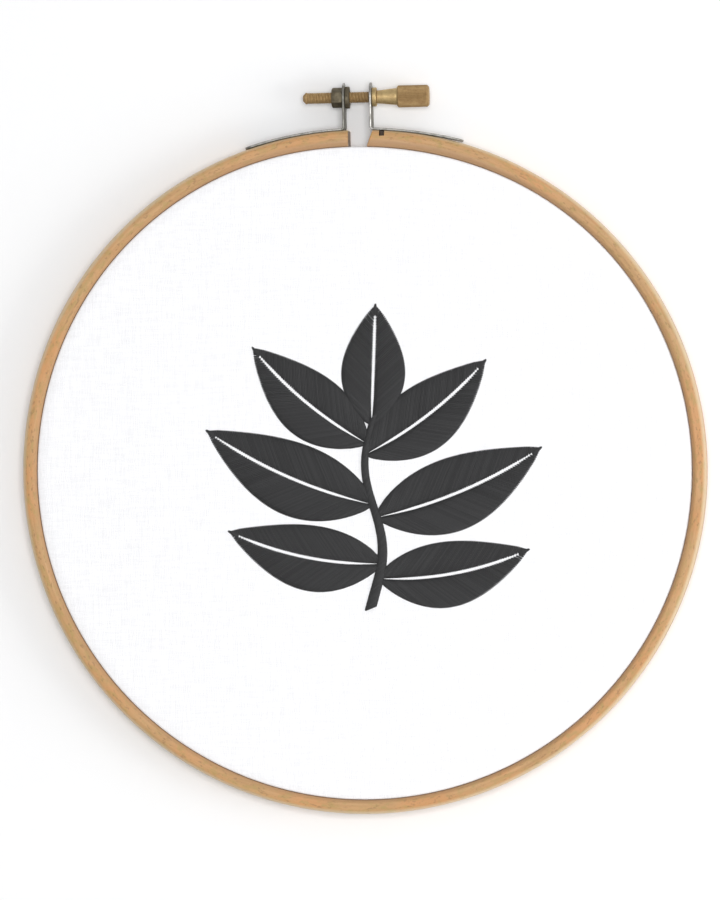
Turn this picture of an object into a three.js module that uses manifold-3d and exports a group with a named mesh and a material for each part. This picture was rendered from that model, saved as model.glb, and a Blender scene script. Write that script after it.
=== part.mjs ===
// Cloth stretched in a wooden embroidery hoop with a tension screw, hanging on a wall.
//
// Millimetres, +Z up, the cloth facing -Y, +X to the viewer's right.
// The origin is the point under the middle of the screw where a wall nail carries the hoop.
// Shapes are built about the hoop's own centre, and one group hangs them below that point.

import * as THREE from 'three';
import { mergeVertices } from 'three/addons/utils/BufferGeometryUtils.js';
import Module from 'manifold-3d';

const wasm = await Module();
wasm.setup();

// Driving dimensions of the hoop
const CLOTH_DIAMETER = 178; // the visible cloth, up to the outer ring: a seven inch hoop
const RING_DEPTH = 9; // front to back
const RING_WIDTH = 4; // radial thickness of each wooden ring
const CLOTH_THICKNESS = 1;
const GROOVE = 0.4; // the dark line between the cloth and the outer ring
const GAP = 0.3; // clearance between pieces that touch in the real hoop
const CLOTH_SETBACK = 0.3; // the cloth's face lies this far behind the ring's front
const CLOTH_SHOULDER = 1.6; // radius where the cloth turns over the inner ring
const CLOTH_TRIM = 0.6; // the cloth's edge stops this far short of the ring's back

// The rings' rounded corners, as radii
const FRONT_OUTER_ROUND = 1.6;
const FRONT_INNER_ROUND = 1.1;
const BACK_ROUND = 0.7;
const HIDDEN_ROUND = 0.8;

// The split of the outer ring, as distances right of the middle
const SPLIT_LEFT = -2.5;
const SPLIT_RIGHT_INNER = 2.4;
const SPLIT_RIGHT_OUTER = 3.7;

// A small square notch in the ring's front edge, by the right bracket's foot
const NOTCH_LEFT = 5.8;
const NOTCH_SIDE = 1.1;
const NOTCH_DEPTH = 2.2;

// Steel brackets
const STRIP = 0.8; // sheet thickness
const STRIP_WIDTH = 8; // along the hoop's depth
const BEND = 0.6; // inside radius of the bend between tab and foot
const TAB_GAP = 6.3; // between the two tabs' inner faces
const FOOT_CORNER = 2.2; // rounding of the foot's free corners
const LEFT_FOOT = { endDegrees: 19.1, lift: 0.15 };
const RIGHT_FOOT = { endDegrees: 17.6, lift: 0.7 };

// Brass screw: its axis runs along X, this far above the hoop's centre
const SCREW_HEIGHT = 102;
const SHAFT_RADIUS = 1.55;
const NECK_RADIUS = 1.88;
const FLARE_RADIUS = 2.35;
const BARREL_RADIUS = 3;
const TIP_RADIUS = 0.85;
const TIP_LENGTH = 0.8;
const TIP_X = -14.9;
const NECK_X = 5.3;
const FLARE_X = 8.4;
const BARREL_X = 10.85;
const BARREL_END_X = 19.6;
const BARREL_CHAMFER = 0.45;

// What sits on the shaft
const BORE_RADIUS = SHAFT_RADIUS + GAP;
const BORE_CUT = 40; // length of the rod that cuts the bores
const NUT = { x: -7.25, length: 3, acrossFlats: 5.5, chamfer: 0.35 };
const INNER_WASHER = { x: -2.85, length: 0.8, radius: 3 };
const OUTER_WASHER = { x: 4.25, length: 0.75, radius: 2.6 };

// Facets
const HOOP_SIDES = 96;
const ROUND_SIDES = 24;
const FRONT_STEPS = 3;
const BACK_STEPS = 2;
const FOOT_STEPS = 8;

// Sizes that follow from the ones above
const OUTER_RING_INNER = CLOTH_DIAMETER / 2 + GROOVE;
const OUTER_RING_OUTER = OUTER_RING_INNER + RING_WIDTH;
const CLOTH_OUTER = OUTER_RING_INNER - GAP;
const INNER_RING_OUTER = CLOTH_OUTER - CLOTH_THICKNESS - GAP;
const INNER_RING_INNER = INNER_RING_OUTER - RING_WIDTH;
const FRONT_Y = -RING_DEPTH / 2;
const BACK_Y = RING_DEPTH / 2;
const CLOTH_FRONT_Y = FRONT_Y + CLOTH_SETBACK;
const CLOTH_BACK_Y = CLOTH_FRONT_Y + CLOTH_THICKNESS;
const TAB_INNER = TAB_GAP / 2;
const TAB_OUTER = TAB_INNER + STRIP;
const TAB_TOP_RADIUS = STRIP_WIDTH / 2;
const TAB_TOP = SCREW_HEIGHT + TAB_TOP_RADIUS;
const FOOT_INNER = OUTER_RING_OUTER + GAP;
const FOOT_OUTER = FOOT_INNER + STRIP;

const HALF_TURN = Math.PI;
const QUARTER_TURN = Math.PI / 2;
const SPARE = 1; // how far a shape reaches past what trims it
const MERGE_DISTANCE = 1e-4;

const WOOD = new THREE.MeshStandardMaterial({ color: 0xc69f73, roughness: 0.6, metalness: 0 });
const HIDDEN_WOOD = new THREE.MeshStandardMaterial({ color: 0xcfac82, roughness: 0.7, metalness: 0 });
const CLOTH = new THREE.MeshStandardMaterial({ color: 0xf6f5f6, roughness: 0.9, metalness: 0 });
const STEEL = new THREE.MeshStandardMaterial({ color: 0x8c8787, roughness: 0.35, metalness: 1 });
const DARK_STEEL = new THREE.MeshStandardMaterial({ color: 0x55503f, roughness: 0.45, metalness: 1 });
const BRASS = new THREE.MeshStandardMaterial({ color: 0xb09155, roughness: 0.35, metalness: 1 });

// A closed mesh as a solid that can be joined and cut
function toSolid(geometry) {
  const bare = geometry.clone();
  bare.deleteAttribute('normal');
  bare.deleteAttribute('uv');
  const merged = mergeVertices(bare, MERGE_DISTANCE);
  return new wasm.Manifold(new wasm.Mesh({
    numProp: 3,
    vertProperties: new Float32Array(merged.attributes.position.array),
    triVerts: new Uint32Array(merged.index.array),
  }));
}

// A solid back as a mesh geometry
function toGeometry(solid) {
  const mesh = solid.getMesh();
  const geometry = new THREE.BufferGeometry();
  geometry.setAttribute('position', new THREE.BufferAttribute(mesh.vertProperties, 3));
  geometry.setIndex(new THREE.BufferAttribute(mesh.triVerts, 1));
  geometry.computeVertexNormals();
  return geometry;
}

// Points on an arc, from one angle to another, both ends included
function arcPoints(centreX, centreY, radius, fromAngle, toAngle, steps) {
  const points = [];
  for (let i = 0; i <= steps; i += 1) {
    const angle = fromAngle + (toAngle - fromAngle) * (i / steps);
    const x = centreX + radius * Math.cos(angle);
    const y = centreY + radius * Math.sin(angle);
    points.push(new THREE.Vector2(x, y));
  }
  return points;
}

// A closed rectangular section with rounded corners, for turning about the hoop's axis
function roundedSection(inner, outer, front, back, rounds) {
  const section = [
    ...arcPoints(inner + rounds.frontInner, front + rounds.frontInner, rounds.frontInner,
      HALF_TURN, 3 * QUARTER_TURN, FRONT_STEPS),
    ...arcPoints(outer - rounds.frontOuter, front + rounds.frontOuter, rounds.frontOuter,
      -QUARTER_TURN, 0, FRONT_STEPS),
    ...arcPoints(outer - rounds.back, back - rounds.back, rounds.back,
      0, QUARTER_TURN, BACK_STEPS),
    ...arcPoints(inner + rounds.back, back - rounds.back, rounds.back,
      QUARTER_TURN, HALF_TURN, BACK_STEPS),
  ];
  section.push(section[0].clone());
  return section;
}

// A flat outline in X and Z, made solid along Y and centred on the hoop's middle plane
function prismAlongY(points, depth) {
  const geometry = new THREE.ExtrudeGeometry(new THREE.Shape(points), {
    depth,
    bevelEnabled: false,
  });
  geometry.rotateX(QUARTER_TURN);
  geometry.translate(0, depth / 2, 0);
  return geometry;
}

// A turned piece whose profile is drawn as radius against distance along X
function turnedAlongX(profile, sides) {
  const geometry = new THREE.LatheGeometry(profile, sides);
  geometry.rotateZ(-QUARTER_TURN);
  return geometry;
}

function innerRing() {
  const rounds = { frontInner: HIDDEN_ROUND, frontOuter: HIDDEN_ROUND, back: BACK_ROUND };
  const front = CLOTH_BACK_Y + GAP;
  const section = roundedSection(INNER_RING_INNER, INNER_RING_OUTER, front, BACK_Y, rounds);
  return new THREE.LatheGeometry(section, HOOP_SIDES);
}

// The block that opens the outer ring: upright at the left end, slanted at the right end
function splitBlock() {
  const slant = (SPLIT_RIGHT_OUTER - SPLIT_RIGHT_INNER) / RING_WIDTH;
  const below = OUTER_RING_INNER - RING_WIDTH;
  const above = OUTER_RING_OUTER + RING_WIDTH;
  return prismAlongY([
    new THREE.Vector2(SPLIT_LEFT, below),
    new THREE.Vector2(SPLIT_RIGHT_INNER - slant * RING_WIDTH, below),
    new THREE.Vector2(SPLIT_RIGHT_OUTER + slant * RING_WIDTH, above),
    new THREE.Vector2(SPLIT_LEFT, above),
  ], 2 * RING_DEPTH);
}

function notchBlock() {
  const geometry = new THREE.BoxGeometry(NOTCH_SIDE, 2 * NOTCH_DEPTH, 2 * NOTCH_SIDE);
  geometry.translate(NOTCH_LEFT + NOTCH_SIDE / 2, FRONT_Y, OUTER_RING_OUTER);
  return geometry;
}

function outerRing() {
  const rounds = {
    frontInner: FRONT_INNER_ROUND,
    frontOuter: FRONT_OUTER_ROUND,
    back: BACK_ROUND,
  };
  const section = roundedSection(OUTER_RING_INNER, OUTER_RING_OUTER, FRONT_Y, BACK_Y, rounds);
  const whole = toSolid(new THREE.LatheGeometry(section, HOOP_SIDES));
  const split = whole.subtract(toSolid(splitBlock()));
  return toGeometry(split.subtract(toSolid(notchBlock())));
}

// One sheet: a flat round face, a shoulder, and a band that runs back between the rings
function cloth() {
  const shoulderR = CLOTH_OUTER - CLOTH_SHOULDER;
  const shoulderY = CLOTH_FRONT_Y + CLOTH_SHOULDER;
  const trimY = BACK_Y - CLOTH_TRIM;
  const inside = CLOTH_SHOULDER - CLOTH_THICKNESS;
  const profile = [
    new THREE.Vector2(0, CLOTH_FRONT_Y),
    ...arcPoints(shoulderR, shoulderY, CLOTH_SHOULDER, -QUARTER_TURN, 0, FRONT_STEPS + 1),
    new THREE.Vector2(CLOTH_OUTER, trimY),
    new THREE.Vector2(CLOTH_OUTER - CLOTH_THICKNESS, trimY),
    ...arcPoints(shoulderR, shoulderY, inside, 0, -QUARTER_TURN, BACK_STEPS),
    new THREE.Vector2(0, CLOTH_BACK_Y),
  ];
  return new THREE.LatheGeometry(profile, HOOP_SIDES);
}

// The bent strip seen from the front: up the tab, round the bend and along the ring
function bracketOutline(foot) {
  const bendX = TAB_OUTER + BEND;
  const bendZ = Math.sqrt((FOOT_OUTER + BEND) ** 2 - bendX ** 2);
  const footStart = Math.atan2(bendX, bendZ);
  const footEnd = THREE.MathUtils.degToRad(foot.endDegrees);
  const towardsCentre = -QUARTER_TURN - footStart;
  const footPoint = (radius, i) => {
    const share = i / FOOT_STEPS;
    const angle = footStart + (footEnd - footStart) * share;
    const lifted = radius + foot.lift * share ** 3;
    return new THREE.Vector2(lifted * Math.sin(angle), lifted * Math.cos(angle));
  };
  const points = [new THREE.Vector2(TAB_INNER, TAB_TOP + SPARE)];
  points.push(...arcPoints(bendX, bendZ, BEND + STRIP, -HALF_TURN, towardsCentre, FRONT_STEPS));
  for (let i = 1; i <= FOOT_STEPS; i += 1) {
    points.push(footPoint(FOOT_INNER, i));
  }
  for (let i = FOOT_STEPS; i >= 1; i -= 1) {
    points.push(footPoint(FOOT_OUTER, i));
  }
  points.push(...arcPoints(bendX, bendZ, BEND, towardsCentre, -HALF_TURN, FRONT_STEPS));
  points.push(new THREE.Vector2(TAB_OUTER, TAB_TOP + SPARE));
  return points;
}

// What the bracket's tab keeps, seen along the screw: straight sides and a round top
function tabOutline() {
  const half = STRIP_WIDTH / 2;
  const shape = new THREE.Shape([
    new THREE.Vector2(-half, 0),
    new THREE.Vector2(half, 0),
    ...arcPoints(0, SCREW_HEIGHT, TAB_TOP_RADIUS, 0, HALF_TURN, ROUND_SIDES / 2),
  ]);
  const reach = 2 * FOOT_OUTER;
  const geometry = new THREE.ExtrudeGeometry(shape, { depth: reach, bevelEnabled: false });
  geometry.translate(0, 0, -reach / 2);
  const alongX = new THREE.Matrix4().makeBasis(
    new THREE.Vector3(0, 1, 0),
    new THREE.Vector3(0, 0, 1),
    new THREE.Vector3(1, 0, 0),
  );
  geometry.applyMatrix4(alongX);
  return geometry;
}

// What the bracket's foot keeps, seen from above: a strip with two rounded free corners
function footOutline(foot) {
  const half = STRIP_WIDTH / 2;
  const endX = (FOOT_OUTER + foot.lift) * Math.sin(THREE.MathUtils.degToRad(foot.endDegrees));
  const cornerX = endX - FOOT_CORNER;
  const cornerY = half - FOOT_CORNER;
  const shape = new THREE.Shape([
    new THREE.Vector2(0, -half),
    ...arcPoints(cornerX, -cornerY, FOOT_CORNER, -QUARTER_TURN, 0, FRONT_STEPS),
    ...arcPoints(cornerX, cornerY, FOOT_CORNER, 0, QUARTER_TURN, FRONT_STEPS),
    new THREE.Vector2(0, half),
  ]);
  return new THREE.ExtrudeGeometry(shape, { depth: 2 * SCREW_HEIGHT, bevelEnabled: false });
}

// A rod along X that cuts the screw's clearance hole at a height
function boreRod(height) {
  const geometry = new THREE.CylinderGeometry(BORE_RADIUS, BORE_RADIUS, BORE_CUT, ROUND_SIDES);
  geometry.rotateZ(QUARTER_TURN);
  geometry.translate(0, 0, height);
  return geometry;
}

// The right-hand bracket, or the same shape turned half round the upright axis for the left
function bracket(foot, onLeft) {
  const strip = toSolid(prismAlongY(bracketOutline(foot), STRIP_WIDTH + SPARE));
  const shaped = strip.intersect(toSolid(tabOutline())).intersect(toSolid(footOutline(foot)));
  const geometry = toGeometry(shaped.subtract(toSolid(boreRod(SCREW_HEIGHT))));
  if (onLeft) {
    geometry.rotateZ(HALF_TURN);
  }
  return geometry;
}

function tensionScrew() {
  return turnedAlongX([
    new THREE.Vector2(0, TIP_X),
    new THREE.Vector2(TIP_RADIUS, TIP_X),
    new THREE.Vector2(SHAFT_RADIUS, TIP_X + TIP_LENGTH),
    new THREE.Vector2(SHAFT_RADIUS, NECK_X),
    new THREE.Vector2(NECK_RADIUS, NECK_X),
    new THREE.Vector2(NECK_RADIUS, FLARE_X),
    new THREE.Vector2(FLARE_RADIUS, BARREL_X),
    new THREE.Vector2(BARREL_RADIUS - BARREL_CHAMFER, BARREL_X),
    new THREE.Vector2(BARREL_RADIUS, BARREL_X + BARREL_CHAMFER),
    new THREE.Vector2(BARREL_RADIUS, BARREL_END_X - BARREL_CHAMFER),
    new THREE.Vector2(BARREL_RADIUS - BARREL_CHAMFER, BARREL_END_X),
    new THREE.Vector2(0, BARREL_END_X),
  ], ROUND_SIDES);
}

// A hexagonal nut, its corners taken off by a turned barrel shape
function hexNut() {
  const corner = NUT.acrossFlats / Math.sqrt(3);
  const hexagon = new THREE.CylinderGeometry(corner, corner, NUT.length, 6);
  hexagon.rotateZ(-QUARTER_TURN);
  hexagon.rotateX(QUARTER_TURN);
  hexagon.translate(NUT.x + NUT.length / 2, 0, 0);
  const end = NUT.x + NUT.length;
  const rounding = turnedAlongX([
    new THREE.Vector2(0, NUT.x),
    new THREE.Vector2(corner - NUT.chamfer, NUT.x),
    new THREE.Vector2(corner, NUT.x + NUT.chamfer),
    new THREE.Vector2(corner, end - NUT.chamfer),
    new THREE.Vector2(corner - NUT.chamfer, end),
    new THREE.Vector2(0, end),
  ], ROUND_SIDES);
  const shaped = toSolid(hexagon).intersect(toSolid(rounding));
  return toGeometry(shaped.subtract(toSolid(boreRod(0))));
}

function washer(size) {
  const end = size.x + size.length;
  return turnedAlongX([
    new THREE.Vector2(BORE_RADIUS, size.x),
    new THREE.Vector2(size.radius, size.x),
    new THREE.Vector2(size.radius, end),
    new THREE.Vector2(BORE_RADIUS, end),
    new THREE.Vector2(BORE_RADIUS, size.x),
  ], ROUND_SIDES);
}

function named(name, geometry, material) {
  const mesh = new THREE.Mesh(geometry, material);
  mesh.name = name;
  return mesh;
}

const hoop = new THREE.Group();
hoop.add(named('inner_ring', innerRing(), HIDDEN_WOOD));
hoop.add(named('outer_ring', outerRing(), WOOD));
hoop.add(named('cloth', cloth(), CLOTH));
hoop.add(named('left_bracket', bracket(LEFT_FOOT, true), STEEL));
hoop.add(named('right_bracket', bracket(RIGHT_FOOT, false), STEEL));

// Everything that is round about the screw's own axis
const screwLine = new THREE.Group();
screwLine.add(named('tension_screw', tensionScrew(), BRASS));
screwLine.add(named('hex_nut', hexNut(), DARK_STEEL));
screwLine.add(named('inner_washer', washer(INNER_WASHER), DARK_STEEL));
screwLine.add(named('outer_washer', washer(OUTER_WASHER), BRASS));
screwLine.position.z = SCREW_HEIGHT;
hoop.add(screwLine);

// The nail carries the hoop by the underside of the screw
hoop.position.z = SHAFT_RADIUS - SCREW_HEIGHT;

const part = new THREE.Group();
part.add(hoop);

export default part;
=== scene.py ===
"""White cloth stretched in a wooden screw hoop, with a leaf sprig sewn on it in charcoal thread.

Metres, +Z up, the cloth facing -Y. The wall nail carries the hoop at the origin.
"""

import math

import bmesh
import bpy
import numpy as np
from mathutils import Matrix, Vector


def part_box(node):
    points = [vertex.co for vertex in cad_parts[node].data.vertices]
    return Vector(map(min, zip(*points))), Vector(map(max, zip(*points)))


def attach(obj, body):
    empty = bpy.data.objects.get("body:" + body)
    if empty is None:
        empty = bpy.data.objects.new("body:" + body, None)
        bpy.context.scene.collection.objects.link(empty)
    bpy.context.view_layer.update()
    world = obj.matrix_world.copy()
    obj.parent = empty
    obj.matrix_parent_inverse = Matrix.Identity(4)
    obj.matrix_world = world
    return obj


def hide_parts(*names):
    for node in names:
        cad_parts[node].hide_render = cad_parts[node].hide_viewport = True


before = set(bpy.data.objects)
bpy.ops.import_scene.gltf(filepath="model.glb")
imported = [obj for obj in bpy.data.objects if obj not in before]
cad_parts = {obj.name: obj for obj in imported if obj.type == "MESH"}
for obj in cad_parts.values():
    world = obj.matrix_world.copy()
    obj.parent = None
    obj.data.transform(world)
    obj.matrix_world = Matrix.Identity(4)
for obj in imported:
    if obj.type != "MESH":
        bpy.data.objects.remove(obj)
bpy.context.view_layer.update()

bl_info = {
    "name": "Embroidery Hoop",
    "version": (1, 0, 0),
    "blender": (4, 5, 0),
    "location": "3D View > Sidebar > Hoop",
    "description": "Builds a stitched leaf sprig on white cloth, stretched in a wooden screw hoop",
    "category": "Add Mesh",
}

MM = 0.001

# Places that the frame gives
RING_LOW, RING_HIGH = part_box("outer_ring")
CLOTH_LOW, CLOTH_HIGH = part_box("cloth")
SCREW_LOW, SCREW_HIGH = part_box("tension_screw")
NUT_LOW, NUT_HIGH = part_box("hex_nut")
INNER_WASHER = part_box("inner_washer")
OUTER_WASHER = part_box("outer_washer")
LEFT_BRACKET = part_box("left_bracket")
RIGHT_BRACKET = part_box("right_bracket")
RING_RADIUS = RING_HIGH.x
HOOP_Z = RING_LOW.z + RING_RADIUS
FRONT_Y = RING_LOW.y
BACK_Y = RING_HIGH.y
SCREW_Z = (SCREW_LOW.z + SCREW_HIGH.z) / 2
HOOP_CENTRE = Vector((0, 0, HOOP_Z))

SPLIT_REACH = 12 * MM  # the split and the notch lie no further from the middle than this
FLAT_SPAN = 0.2  # the flat cloth's UV runs from 0 to 1 over this width


def length_property(name, description, millimetres):
    """A size that is given here in millimetres, and that the panel shows with its unit."""
    return bpy.props.FloatProperty(
        name=name, description=description, default=millimetres * MM, unit="LENGTH", precision=5
    )


def angle_property(name, description, degrees):
    """An angle that the panel shows in degrees."""
    return bpy.props.FloatProperty(
        name=name, description=description, default=math.radians(degrees), subtype="ANGLE"
    )


def strength_property(name, description, default, unit="NONE"):
    """How strong a light or the sky is."""
    return bpy.props.FloatProperty(name=name, description=description, default=default, unit=unit)


def colour_property(name, description, default):
    """A colour that the panel shows as a field."""
    return bpy.props.FloatVectorProperty(
        name=name, description=description, default=default, subtype="COLOR", size=3, min=0, max=1
    )


def count_property(name, description, default):
    """A whole number that the panel shows."""
    return bpy.props.IntProperty(name=name, description=description, default=default, min=1)


class StageSizes(bpy.types.PropertyGroup):
    """Where the camera, the lights, the wall and the floor are"""

    azimuth: angle_property("Azimuth", "How far the camera stands to the right of square on", 5)
    roll: angle_property("Roll", "The camera's lean, since the hoop hangs a little askew", 1.1)
    distance: length_property("Distance", "From the camera to the hoop's middle", 2000)
    frame_height: length_property("Frame height", "What the picture covers at the hoop", 245.6)
    aim_right: length_property("Aim right", "The picture's middle, right of the hoop's", -1.28)
    aim_up: length_property("Aim up", "The picture's middle, above the hoop's", 5.76)
    wall_gap: length_property("Wall gap", "From the ring's back to the wall", 0.3)
    wall_size: length_property("Wall size", "The wall's width and height", 2400)
    floor_size: length_property("Floor size", "The floor's width and depth", 2400)
    floor_drop: length_property("Floor drop", "From the ring's lowest point to the floor", 1100)
    key_watts: strength_property("Key light", "Of the large light at the right", 9.3, "POWER")
    fill_watts: strength_property("Fill light", "Of the light beside the camera", 19.8, "POWER")
    rear_watts: strength_property("Rear light", "Of the light behind the hoop", 9, "POWER")
    sky_bright: strength_property("Bright sky", "At the upper right front", 0.56)
    sky_dim: strength_property("Dim sky", "Opposite, at the lower left", 0.18)


class RingSizes(bpy.types.PropertyGroup):
    """The two wooden rings"""

    width: length_property("Width", "Radial thickness of each ring", 3.85)
    sides: count_property("Sides", "Steps round the hoop", 320)
    front_outer_round: length_property("Front outer round", "Radius of that corner", 1.3)
    front_inner_round: length_property("Front inner round", "Radius of that corner", 1.3)
    back_round: length_property("Back round", "Radius of the back corners", 0.7)
    split_left: length_property("Split left", "The left end's face, from the middle", -2.5)
    split_right_inner: length_property(
        "Split right, inside", "The right end's inner edge, from the middle", 2.55
    )
    split_right_outer: length_property(
        "Split right, outside", "The right end's outer edge, from the middle", 4.3
    )
    end_bevel: length_property("End bevel", "How far the ends' edges are eased", 0.25)
    notch_left: length_property("Notch left", "The notch's left side, from the middle", 6.1)
    notch_side: length_property("Notch side", "The square notch's side", 1.4)
    notch_depth: length_property("Notch depth", "How far the notch goes in", 4.0)
    pulled_in: length_property("Pulled in", "How far the split's outside is pulled in", 0.4)
    pulled_more: length_property("Pulled more", "How much further its inside is", 1.3)
    pushed_out: length_property("Pushed out", "How far the hoop bulges at the upper left", 0.3)


class ClothSizes(bpy.types.PropertyGroup):
    """The stretched cloth"""

    sides: count_property("Sides", "Steps round the cloth", 384)
    thickness: length_property("Thickness", "Of the woven sheet", 0.45)
    reach: length_property("Reach", "Radius of the cloth on its ring", 89.46)
    shoulder: length_property("Shoulder", "Radius where it turns over the ring", 0.6)
    slope: length_property("Slope", "Width of the gentle fall before the shoulder", 2.6)
    fall: length_property("Fall", "How far the cloth falls over that width", 0.26)
    flat_diameter: length_property("Flat diameter", "The round that was cut", 193)
    gathers: count_property("Gathers", "Small folds where the cloth is pinched", 118)
    gather_depth: length_property("Gather depth", "How far those folds wave", 0.32)
    thread_pitch: length_property("Thread pitch", "From thread to thread of the weave", 0.45)


class SprigSizes(bpy.types.PropertyGroup):
    """The sewn leaf sprig"""

    right: length_property("Right", "The sprig's middle, right of the hoop's", 2.6)
    up: length_property("Up", "The sprig's middle, above the hoop's", 2.6)
    stem_bottom: length_property("Stem bottom", "Below the sprig's middle", -40.5)
    stem_top: length_property("Stem top", "Above the sprig's middle", 10.0)
    stem_sway: length_property("Stem sway", "How far the stem curves aside", 2.2)
    stem_width: length_property("Stem width", "At the stem's foot", 3.0)
    pitch: length_property("Stitch pitch", "From stitch to stitch", 0.32)
    thread: length_property("Thread", "Width of one stitch", 0.6)
    padding: length_property("Padding", "How far the longest stitches stand up", 0.42)
    slit: length_property("Slit", "Bare cloth along a leaf's middle", 0.7)
    tip_stitches: count_property("Tip stitches", "Long stitches that meet in a leaf's tip", 7)
    tip_length: length_property("Tip length", "Of those stitches", 3.2)
    tip_spacing: length_property("Tip spacing", "From one to the next, where they start", 0.16)
    bare_tip: length_property("Bare tip", "From the last slanted stitch to the tip", 0.9)
    draw_in: length_property("Draw in", "How far the outline is drawn in at the tip", 0.35)
    draw_length: length_property("Draw length", "How far from the tip that starts", 3)
    seed: count_property("Seed", "Of the small differences between stitches", 7)


class BracketSizes(bpy.types.PropertyGroup):
    """The two bent steel strips"""

    sheet: length_property("Sheet", "Thickness of the steel", 0.55)
    tab_gap: length_property("Tab gap", "From the middle to a tab's inner face", 3.42)
    bend: length_property("Bend", "Inside radius of the bend", 0.2)
    foot_corner: length_property("Foot corner", "Rounding of the free corners", 2.2)
    left_lift: length_property("Left lift", "How far the left foot's end springs up", 0.15)
    right_lift: length_property("Right lift", "How far the right foot's end springs up", 0.42)
    edge: length_property("Edge", "How far the sheet's edges are eased", 0.1)
    step: length_property("Step", "Distance between the bent strip's cuts", 0.45)


class ScrewSizes(bpy.types.PropertyGroup):
    """The brass screw and what sits on it"""

    sides: count_property("Sides", "Steps round the screw", 88)
    tip_radius: length_property("Tip radius", "At the shaft's free end", 0.75)
    shaft_radius: length_property("Shaft radius", "Over the thread", 1.6)
    thread_pitch: length_property("Thread pitch", "Of the screw thread", 0.5)
    thread_depth: length_property("Thread depth", "From crest to root", 0.26)
    neck_radius: length_property("Neck radius", "Beside the washer", 1.8)
    flare_radius: length_property("Flare radius", "Where the neck meets the barrel", 2.3)
    neck_left: length_property("Neck left", "The neck's left end, from the middle", 5.3)
    flare_left: length_property("Flare left", "Where the neck begins to flare", 5.9)
    barrel_left: length_property("Barrel left", "The barrel's left end", 10.85)
    barrel_chamfer: length_property("Barrel chamfer", "At both of its ends", 0.4)
    knurl_depth: length_property("Knurl depth", "Of the grooves along the barrel", 0.16)
    bore_radius: length_property("Bore radius", "Of the nut and the washers", 1.68)
    nut_right: length_property("Nut right", "The nut's face at the tab, from the middle", -4.02)
    nut_chamfer: length_property("Nut chamfer", "How far the nut's corners are turned off", 0.28)
    washer_play: length_property("Washer play", "Between each tab and its washer", 0.07)


class Finishes(bpy.types.PropertyGroup):
    """Base colours of the finishes"""

    wood: colour_property("Wood", "Face of the outer ring", (0.548, 0.328, 0.145))
    wood_dark: colour_property("Dark wood", "Grain lines", (0.42, 0.235, 0.10))
    inner_wood: colour_property("Inner wood", "The inner ring", (0.60, 0.40, 0.22))
    # Painted highlight: the pale colour laid along the outer ring's rounded outer edge, where light
    # catches it
    rim: colour_property("Rim", "Wood rubbed pale along the outer edge", (0.68, 0.56, 0.38))
    # Painted shade: the dark colour laid in a band along the ring's inner edge, in the groove
    # beside the cloth
    shaded_inside_edge: colour_property("Inside edge", "Wood beside the cloth", (0.42, 0.25, 0.135))
    # Darker end grain, with painted shade on the split's end faces and in the notch
    end_grain_and_shade: colour_property("End grain", "Wood cut across", (0.075, 0.045, 0.028))
    cloth: colour_property("Cloth", "White cotton", (0.956, 0.955, 0.968))
    thread: colour_property("Thread", "Charcoal cotton thread", (0.032, 0.032, 0.033))
    steel: colour_property("Steel", "Plated strip", (0.52, 0.505, 0.49))
    # Steel stain, also laid on the strips' faces as painted light and shade
    steel_stain_and_shade: colour_property("Steel stain", "On the strips", (0.17, 0.165, 0.135))
    dark_steel: colour_property("Dark steel", "Oiled nut and collar", (0.19, 0.162, 0.11))
    dark_stain: colour_property("Dark stain", "On the nut and the collar", (0.1, 0.084, 0.058))
    brass: colour_property("Brass", "Turned screw", (0.58, 0.43, 0.205))
    brass_stain: colour_property("Brass stain", "On the screw", (0.36, 0.225, 0.105))
    washer_stain: colour_property("Washer stain", "On the brass washer", (0.25, 0.16, 0.07))
    wall: colour_property("Wall", "Painted wall", (0.92, 0.92, 0.92))
    floor: colour_property("Floor", "Pale floor below the wall", (0.6, 0.59, 0.57))


# Making and picking


def select_only(piece):
    """Leaves edit mode and selects one object, which becomes the active one."""
    if bpy.context.mode != "OBJECT":
        bpy.ops.object.mode_set(mode="OBJECT")
    bpy.ops.object.select_all(action="DESELECT")
    if piece is not None:
        piece.select_set(True)
        bpy.context.view_layer.objects.active = piece


def add(operator, name, **settings):
    """Adds a mesh with one of Blender's own operators, under a name of its own."""
    select_only(None)
    operator(**settings)
    piece = bpy.context.active_object
    piece.name = name
    piece.data.name = name
    return piece


def edit(piece, kind="VERT"):
    """Opens a piece in edit mode with one kind of element to select."""
    select_only(piece)
    bpy.ops.object.mode_set(mode="EDIT")
    bpy.ops.mesh.select_mode(type=kind)


def pick(piece, kind, test):
    """In edit mode, selects only the elements whose points all pass a test of place."""
    bpy.ops.mesh.select_mode(type=kind)
    bpy.ops.mesh.select_all(action="DESELECT")
    mesh = bmesh.from_edit_mesh(piece.data)
    elements = {"VERT": mesh.verts, "EDGE": mesh.edges, "FACE": mesh.faces}[kind]
    for element in elements:
        points = [element.co] if kind == "VERT" else [v.co for v in element.verts]
        element.select_set(all(test(p) for p in points))
    mesh.select_flush_mode()
    bmesh.update_edit_mesh(piece.data)


def keep_edges(piece, test):
    """In edit mode, keeps only those selected edges whose two end points pass a test."""
    mesh = bmesh.from_edit_mesh(piece.data)
    for edge in mesh.edges:
        a, b = (v.co for v in edge.verts)
        edge.select_set(edge.select and test(a, b))
    bmesh.update_edit_mesh(piece.data)


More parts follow.
